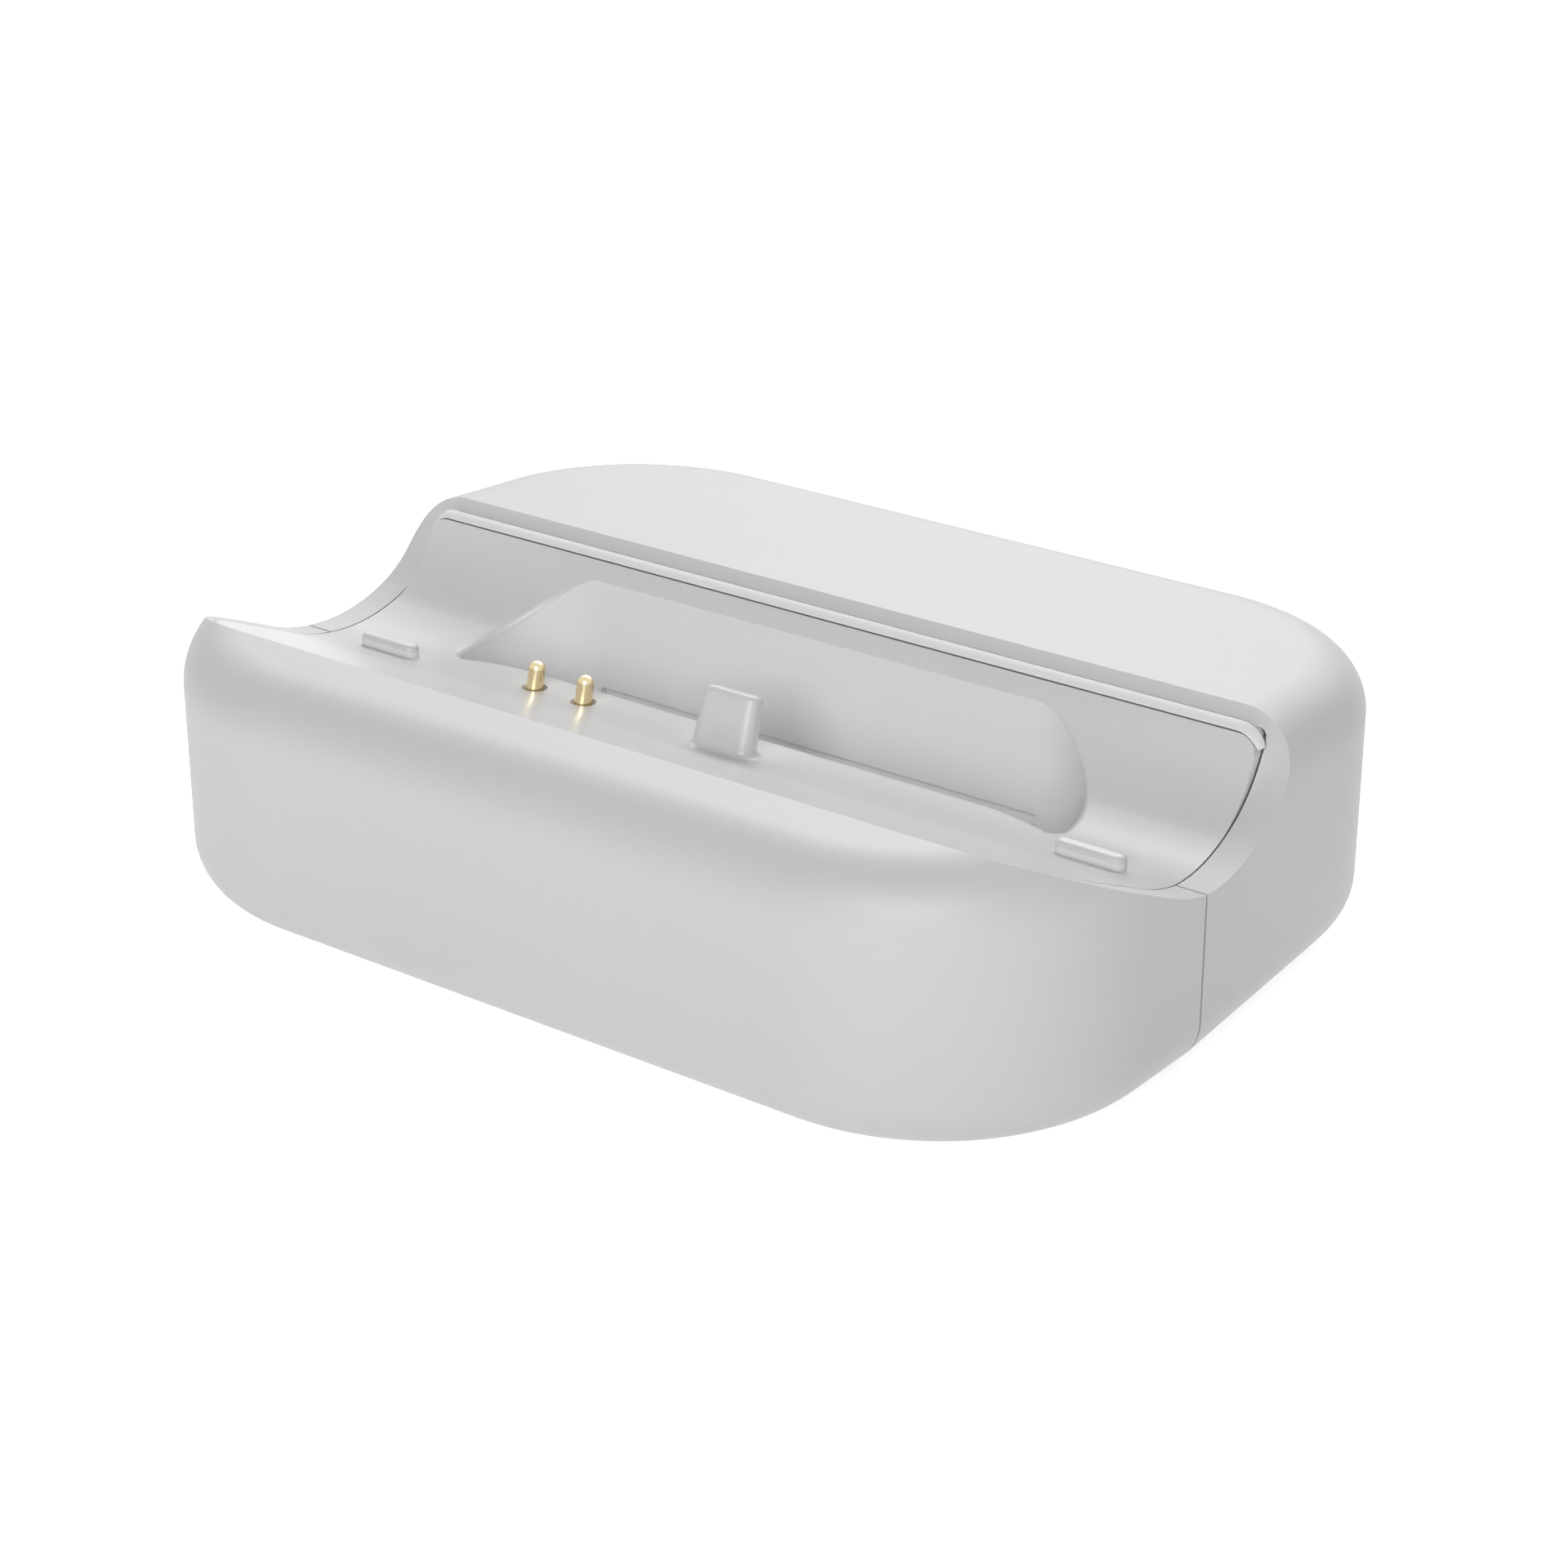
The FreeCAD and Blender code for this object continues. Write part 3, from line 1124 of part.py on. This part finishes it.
def lead(name, x):
    """Round insulated wire: down from the contact board, then back under the pocket onto the main board."""
    reach = size("barrel_base") - size("board_thick")
    lean = math.radians(size("pin_lean"))
    front = size("pin_y") + reach * math.sin(lean)
    top = size("pin_z") + reach * math.cos(lean) - size("lead_gap")
    low = size("lead_z")
    bend = size("lead_bend")
    quarter = bend * (1 - math.sqrt(0.5))
    start = Vector(x, front, top)
    turn_in = Vector(x, front, low + bend)
    turn_out = Vector(x, front + bend, low)
    end = Vector(x, size("lead_end_y"), low)
    bow = Part.Arc(turn_in, Vector(x, front + quarter, low + quarter), turn_out)
    path = Part.Wire([Part.makeLine(start, turn_in), bow.toShape(), Part.makeLine(turn_out, end)])
    ring = Part.Wire(Part.makeCircle(size("lead_radius"), start, Vector(0, 0, 1)))
    wire = doc.addObject("Part::Feature", name)
    wire.Shape = path.makePipeShell([ring], True, False)
    return wire


nodes["lead_positive"] = lead("lead_positive", size("pin_left_x"))
nodes["lead_negative"] = lead("lead_negative", size("pin_right_x"))
nodes["front_shell"] = front_shell
nodes["rear_shell"] = rear_shell
nodes["cradle_insert"] = cradle_insert
nodes["inlet_shell"] = inlet_shell
nodes["inlet_tongue"] = inlet_tongue
doc.recompute()

os.makedirs("parts", exist_ok=True)
failed = [item.Label for item in doc.Objects if "Invalid" in item.State or "Error" in item.State]
if failed:
    raise RuntimeError("no valid state: %s" % ", ".join(failed))
for name, item in nodes.items():
    item.Label = name
    if item.Shape.isNull() or not item.Shape.isValid():
        raise RuntimeError("%s has no valid shape" % name)
for name, item in nodes.items():
    item.Shape.exportStep("parts/%s.step" % name)
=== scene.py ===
import math
import bmesh
import bpy
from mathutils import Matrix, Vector


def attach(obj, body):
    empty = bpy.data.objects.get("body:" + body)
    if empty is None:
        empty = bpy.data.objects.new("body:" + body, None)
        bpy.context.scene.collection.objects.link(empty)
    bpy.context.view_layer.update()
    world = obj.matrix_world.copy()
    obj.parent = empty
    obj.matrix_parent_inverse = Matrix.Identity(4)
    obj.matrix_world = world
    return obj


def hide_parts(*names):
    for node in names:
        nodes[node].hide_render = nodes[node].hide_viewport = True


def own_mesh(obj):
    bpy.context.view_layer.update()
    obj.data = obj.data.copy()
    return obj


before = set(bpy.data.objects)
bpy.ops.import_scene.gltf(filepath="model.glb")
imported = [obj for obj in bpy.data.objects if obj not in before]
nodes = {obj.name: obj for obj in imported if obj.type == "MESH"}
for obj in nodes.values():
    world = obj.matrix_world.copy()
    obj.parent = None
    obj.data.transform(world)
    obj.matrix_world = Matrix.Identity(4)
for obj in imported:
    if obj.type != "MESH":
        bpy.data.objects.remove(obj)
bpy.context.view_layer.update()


# Two housing halves: the sloping front and the flat-topped rear of the dock.
# White ABS, injection moulded, with a fine satin skin that gives soft, broad highlights.
# They meet at the seam across the trough and are held together by the base plate and the insert.
MM = 0.001


def linear(code):
    """Linear colour from an sRGB hex code."""
    parts = [int(code[i:i + 2], 16) / 255 for i in (0, 2, 4)]
    return [c / 12.92 if c <= 0.04045 else ((c + 0.055) / 1.055) ** 2.4 for c in parts] + [1.0]


def add(tree, kind, values=None, links=None, **settings):
    """One node with its settings, fixed inputs and links."""
    node = tree.nodes.new(kind)
    for name, value in settings.items():
        setattr(node, name, value)
    for name, value in (values or {}).items():
        node.inputs[name].default_value = value
    for name, (source, output) in (links or {}).items():
        tree.links.new(source.outputs[output], node.inputs[name])
    return node


def surface(name, pale, dark, rough_low, rough_high, grain, depth, metallic=0.0, ior=1.5, joint_shade=0.35):
    """Material with two close tones, an uneven sheen, a grain in millimetres and painted shade in its
    joints.
    """
    cloud_width = 14 * MM
    joint_width = 0.5 * MM
    material = bpy.data.materials.new(name)
    material.use_nodes = True
    tree = material.node_tree
    tree.nodes.clear()
    # The real grain of these surfaces is near 0.05 mm; it is drawn some 0.3 mm wide, so that it shows.
    place = add(tree, "ShaderNodeTexCoord")
    cloud = add(tree, "ShaderNodeTexNoise", {"Scale": 1 / cloud_width, "Detail": 3.0},
                {"Vector": (place, "Object")})
    fine = add(tree, "ShaderNodeTexNoise", {"Scale": 1 / (grain * MM), "Detail": 2.0},
               {"Vector": (place, "Object")})
    tone = add(tree, "ShaderNodeMix", {"A": linear(dark), "B": linear(pale)},
               {"Factor": (cloud, "Fac")}, data_type="RGBA")
    sheen = add(tree, "ShaderNodeMapRange", {"To Min": rough_low, "To Max": rough_high},
                {"Value": (fine, "Fac")})
    bump = add(tree, "ShaderNodeBump", {"Strength": 0.25, "Distance": depth * MM},
               {"Height": (fine, "Fac")})
    # Painted shade: ambient occlusion within the joint width darkens the tone in joints, gaps and tight
    # corners, down to the given share.
    joint_occlusion = add(tree, "ShaderNodeAmbientOcclusion", {"Distance": joint_width}, samples=8)
    joint_shade_factor = add(tree, "ShaderNodeMapRange",
               {"From Min": 0.1, "From Max": 0.55, "To Min": joint_shade, "To Max": 1.0},
               {"Value": (joint_occlusion, "AO")})
    joint_shaded_tone = add(tree, "ShaderNodeVectorMath", None,
                {0: (tone, "Result"), "Scale": (joint_shade_factor, "Result")}, operation="SCALE")
    shader = add(tree, "ShaderNodeBsdfPrincipled", {"Metallic": metallic},
                 {"Base Color": (joint_shaded_tone, "Vector"), "Roughness": (sheen, "Result"),
                  "Normal": (bump, "Normal")})
    if not metallic:
        shader.inputs["IOR"].default_value = ior
    add(tree, "ShaderNodeOutputMaterial", None, {"Surface": (shader, "BSDF")})
    return material


def dress(material, *names):
    """CAD pieces in their real material."""
    for name in names:
        mesh = nodes[name].data
        mesh.materials.clear()
        mesh.materials.append(material)


# Painted shade: the housing's share is low, so the seam between the halves and other tight gaps are
# painted dark.
abs_satin = surface("white ABS, satin moulded", "dfdfe0", "dcdcdd", 0.42, 0.5, 0.35, 0.004,
                    ior=1.54, joint_shade=0.06)
dress(abs_satin, "front_shell", "rear_shell")


# Bead of the rear half: the ledge that ends the deck over the rim of the insert, painted paler than the
# housing as painted light.
# White ABS, moulded with the rear half and with a polished edge, drawn here as a thin strip
# that leans to the front, turns down round both corners of the insert and runs out there.
bead_half = 42.45
bead_height = 23.17
bead_turn = 1.9
bead_bend = math.radians(74)
bead_steps = 8
bead_section = [(5.66, -0.06), (5.6, 0.02), (5.66, 0.12), (6.36, 0.5), (6.52, 0.52), (6.62, 0.42),
                (6.9, -0.06)]


def strip(name, section, height, half, turn, bend, steps):
    """Bar along the width on a section in millimetres, with both ends turned down and drawn in."""
    path = []
    for i in range(steps, -1, -1):
        angle = bend * i / steps
        share = 1 - 0.5 * (i / steps) ** 3
        path.append((half - turn + turn * math.sin(angle), turn * (1 - math.cos(angle)), angle, share))
    path = [(-x, drop, -angle, share) for x, drop, angle, share in path] + path[::-1]
    back = max(y for y, up in section)
    verts = []
    for x, drop, angle, share in path:
        for y, up in section:
            rise = up * share
            across = x + rise * math.sin(angle)
            deep = back - (back - y) * (0.6 + 0.4 * share)
            high = height - drop + rise * math.cos(angle)
            verts.append((across * MM, deep * MM, high * MM))
    count = len(section)
    faces = []
    for ring in range(len(path) - 1):
        for i in range(count):
            j = (i + 1) % count
            this, following = ring * count, (ring + 1) * count
            faces.append((this + i, following + i, following + j, this + j))
    faces.append(tuple(range(count)))
    faces.append(tuple(reversed(range((len(path) - 1) * count, len(path) * count))))
    mesh = bpy.data.meshes.new(name)
    mesh.from_pydata(verts, [], faces)
    mesh.shade_smooth()
    mesh.update()
    bar = bpy.data.objects.new(name, mesh)
    bpy.context.scene.collection.objects.link(bar)
    return bar


rim_bead = strip("rim_bead", bead_section, bead_height, bead_half, bead_turn, bead_bend, bead_steps)
# Painted light: the bead's tone is near white, paler than the housing, so that the ledge shows bright.
abs_bead_painted_pale = surface("white ABS, polished edge, painted pale", "fafafb", "f8f8f9", 0.3, 0.36, 0.35, 0.002, ior=1.54)
rim_bead.data.materials.append(abs_bead_painted_pale)
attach(rim_bead, "dock")


# Cradle insert: one moulding that lines the trough, with the sunk pocket, two ribs and the leaning peg.
# The same white ABS from a better polished mould; its upright walls, as in the pocket, are painted paler
# as painted light.
# It drops into a seat in both halves and carries the contact board underneath.
abs_polished = surface("white ABS, polished mould", "e1e1e1", "dedede", 0.26, 0.32, 0.5, 0.002, ior=1.54)
polished_tree = abs_polished.node_tree
polished_shader = [n for n in polished_tree.nodes if n.type == "BSDF_PRINCIPLED"][0]
polished_joint_shade = polished_shader.inputs["Base Color"].links[0].from_node
polished_tone = polished_joint_shade.inputs[0].links[0].from_node
# Painted light: faces that stand upright or lean downward are mixed towards a paler white, which lights up
# the pocket walls.
facing = add(polished_tree, "ShaderNodeNewGeometry")
facing_parts = add(polished_tree, "ShaderNodeSeparateXYZ", None, {0: (facing, "True Normal")})
uprightness = add(polished_tree, "ShaderNodeMapRange", {"From Min": 0.12, "From Max": 0.02},
                  {"Value": (facing_parts, "Z")})
upright_painted_light = add(polished_tree, "ShaderNodeMix", {"B": linear("f1f1f1")},
                 {"Factor": (uprightness, "Result"), "A": (polished_tone, "Result")}, data_type="RGBA")
polished_tree.links.new(upright_painted_light.outputs["Result"], polished_joint_shade.inputs[0])
dress(abs_polished, "cradle_insert")


# Base plate: flat cover of the underside, with posts for the main board.
# White ABS with a coarser, dull spark-eroded skin, let into its recess and screwed to four bosses.
abs_spark = surface("white ABS, spark eroded", "dededf", "d8d8da", 0.55, 0.7, 0.5, 0.02, ior=1.54)
dress(abs_spark, "base_plate")


# Screws of the base plate and of both boards: small steel screws, driven into bosses and posts.
# Cold-headed steel, zinc plated, bright with a faint cloud.
zinc = surface("zinc plated steel", "b9bbbf", "a5a7ab", 0.28, 0.42, 0.3, 0.003, metallic=1.0)
dress(zinc, "base_screws", "contact_screws", "board_screws")


# Feet: four discs of soft rubber, moulded with a small round edge.
# Grey silicone rubber without shine, glued into recesses in the base plate.
silicone = surface("grey silicone rubber", "9d9d9f", "959597", 0.6, 0.75, 0.3, 0.01, ior=1.41)
dress(silicone, "foot_front_left", "foot_front_right", "foot_rear_left", "foot_rear_right")


# Contact plungers: turned brass pins with a round tip that spring out of the trough floor.
# Gold plated and smooth, so that they mirror the bright studio and the dark gap round them.
gold = surface("gold plated brass", "ead9b0", "e4d0a2", 0.12, 0.18, 0.25, 0.001, metallic=1.0)
dress(gold, "pin_plunger_left", "pin_plunger_right")


# Contact barrels: turned brass tubes that guide the plungers.
# They are gold flashed, with a warm soft shine, soldered to the contact board and pressed into the holder.
brass = surface("turned brass, gold flash", "c9a65e", "bd9850", 0.2, 0.3, 0.25, 0.002, metallic=1.0)
dress(brass, "pin_barrel_left", "pin_barrel_right")


# Contact springs: coils of drawn steel wire between the foot of each barrel and its plunger.
# They lie loose in the barrels; each coil is drawn as a welded copy of itself, fixed to the dock.
spring_wire = surface("drawn spring steel", "a9aaad", "97989b", 0.25, 0.38, 0.2, 0.002, metallic=1.0)
weld = 0.0001 * MM
for side in ("left", "right"):
    coil = nodes["pin_spring_" + side]
    coil_mesh = coil.data.copy()
    coil_mesh.transform(coil.matrix_world)
    coil_form = bmesh.new()
    coil_form.from_mesh(coil_mesh)
    bmesh.ops.remove_doubles(coil_form, verts=coil_form.verts, dist=weld)
    coil_form.to_mesh(coil_mesh)
    coil_form.free()
    coil_mesh.materials.clear()
    coil_mesh.materials.append(spring_wire)
    soft_coil = bpy.data.objects.new("pin_coil_" + side, coil_mesh)
    bpy.context.scene.collection.objects.link(soft_coil)
    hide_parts("pin_spring_" + side)
    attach(soft_coil, "dock")
    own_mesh(soft_coil)


# Contact holder: block that keeps the two barrels at their lean.
# Black heat resistant nylon, moulded and dull from its glass fill, on the contact board under the insert.
nylon = surface("black nylon, glass filled", "232324", "1b1b1c", 0.5, 0.65, 0.4, 0.01, ior=1.53)
dress(nylon, "pin_holder")


# Circuit boards: a small one under the contacts and the main one behind the inlet.
# Woven glass laminate under glossy green solder mask, screwed to posts of the insert and the base plate.
mask = surface("green solder mask on laminate", "1e5a38", "17492d", 0.3, 0.42, 0.4, 0.004, ior=1.5)
dress(mask, "contact_board", "main_board")


# Parts on the main board: charge chip, power inductor and a row of capacitors.
# Dull black moulding compound, grey pressed ferrite and tan fired ceramic, soldered flat to the board.
compound = surface("black epoxy compound", "262627", "1e1e1f", 0.45, 0.6, 0.3, 0.006, ior=1.55)
dress(compound, "charge_chip")
ferrite = surface("pressed ferrite", "4a4a4c", "3f3f41", 0.55, 0.7, 0.4, 0.01, ior=1.6)
dress(ferrite, "power_inductor")
ceramic = surface("fired ceramic", "b39368", "a6865b", 0.35, 0.5, 0.3, 0.004, ior=1.6)
dress(ceramic, "board_capacitors")


# Leads: two insulated wires between the boards, one red and one black.
# Stranded copper in smooth extruded PVC, bent under the pocket and soldered at both ends.
pvc_red = surface("red PVC insulation", "a5231d", "981d18", 0.3, 0.4, 0.3, 0.003, ior=1.53)
dress(pvc_red, "lead_positive")
pvc_black = surface("black PVC insulation", "1d1d1e", "171718", 0.3, 0.4, 0.3, 0.003, ior=1.53)
dress(pvc_black, "lead_negative")


# Cable inlet: a drawn steel shell round a thin tongue, set in a slot in the rear wall.
# Bright nickel plated steel, and dull black polymer for the tongue, soldered to the main board.
nickel = surface("nickel plated steel", "c3c2be", "b4b3af", 0.2, 0.32, 0.3, 0.002, metallic=1.0)
dress(nickel, "inlet_shell")
polymer = surface("black liquid crystal polymer", "202021", "19191a", 0.4, 0.5, 0.3, 0.004, ior=1.6)
dress(polymer, "inlet_tongue")


# Table: a white sheet of matt paint under the dock, a hair below the feet, lit a little from beneath.
# It takes the soft shadow of the dock and looks white to the camera and in reflections.
table_size = 1.8
table_gap = 0.02 * MM
bpy.ops.mesh.primitive_plane_add(size=table_size, location=(0, 0, -table_gap))
table_top = bpy.context.object
table_top.name = "table_top"
table_paint = bpy.data.materials.new("white table, matt paint")
table_paint.use_nodes = True
table_tree = table_paint.node_tree
table_tree.nodes.clear()


def glow(tree, lit, seen):
    """Strength of a white surface: lit for the light it sheds, seen for camera, mirror and glass rays."""
    rays = add(tree, "ShaderNodeLightPath")
    mirror = add(tree, "ShaderNodeMath", None,
                 {0: (rays, "Is Glossy Ray"), 1: (rays, "Is Transmission Ray")}, operation="ADD")
    any_view = add(tree, "ShaderNodeMath", None,
                   {0: (rays, "Is Camera Ray"), 1: (mirror, 0)}, operation="ADD", use_clamp=True)
    return add(tree, "ShaderNodeMapRange", {"To Min": lit, "To Max": seen}, {"Value": (any_view, 0)})


table_diffuse = add(table_tree, "ShaderNodeBsdfDiffuse", {"Color": linear("fafafa")})
table_level = glow(table_tree, 0.12, 0.64)
table_glow = add(table_tree, "ShaderNodeEmission", {"Color": linear("ffffff")},
                 {"Strength": (table_level, "Result")})
table_sum = add(table_tree, "ShaderNodeAddShader")
table_tree.links.new(table_diffuse.outputs[0], table_sum.inputs[0])
table_tree.links.new(table_glow.outputs[0], table_sum.inputs[1])
add(table_tree, "ShaderNodeOutputMaterial", None, {"Surface": (table_sum, "Shader")})
table_top.data.materials.append(table_paint)


# Sky: a dark studio that sheds no light of its own.
# It is plain white where the camera, a mirror or glass sees it.
sky = bpy.data.worlds.new("studio sky")
bpy.context.scene.world = sky
sky.use_nodes = True
sky_tree = sky.node_tree
sky_tree.nodes.clear()
sky_level = glow(sky_tree, 0.0, 1.0)
sky_light = add(sky_tree, "ShaderNodeBackground", {"Color": linear("ffffff")},
                {"Strength": (sky_level, "Result")})
add(sky_tree, "ShaderNodeOutputWorld", None, {"Surface": (sky_light, "Background")})


# Lamps: four broad soft boxes round the dock, three behind it and one in front.
# They give the deck and the trough floor more light than the walls, as in the photograph.
lamp_distance = 1.1
lamp_target = Vector((0, 0, 12 * MM))


def softbox(name, azimuth, elevation, width, height, power):
    """Soft lamp that looks at the dock; azimuth 0 is in front and 90 to the right, sizes in metres."""
    turn = math.radians(azimuth)
    rise = math.radians(elevation)
    lamp = bpy.data.lights.new(name, "AREA")
    lamp.shape = "RECTANGLE"
    lamp.size = width
    lamp.size_y = height
    lamp.energy = power
    stand = bpy.data.objects.new(name, lamp)
    bpy.context.scene.collection.objects.link(stand)
    aim = Vector((math.sin(turn) * math.cos(rise), -math.cos(turn) * math.cos(rise), math.sin(rise)))
    stand.location = lamp_target + aim * lamp_distance
    stand.rotation_euler = aim.to_track_quat("Z", "Y").to_euler()


softbox("rear softbox", 192, 32, 1.0, 0.6, 2.7)
softbox("high rear softbox", 190, 52, 1.0, 0.7, 4.2)
softbox("rear left softbox", 225, 35, 0.9, 0.6, 3.0)
softbox("front softbox", 21, 29, 0.8, 0.6, 7.4)


# Camera: stands as far away and as high as the one that took the photograph.
# The place and the lens were fitted to the outline of the dock in it.
camera = bpy.data.cameras.new("camera")
camera.lens = 80.6
camera.sensor_width = 36.0
camera.clip_start = 0.01
eye = bpy.data.objects.new("camera", camera)
bpy.context.scene.collection.objects.link(eye)
look_at = Vector((-11.872, 17.538, 0.4)) * MM
eye_direction = Vector((0.5455, -0.7326, 0.4071)).normalized()
eye_distance = 317.516 * MM
eye.location = look_at + eye_direction * eye_distance
eye.rotation_euler = (look_at - eye.location).to_track_quat("-Z", "Y").to_euler()
bpy.context.scene.camera = eye
bpy.context.scene.view_settings.view_transform = "Standard"
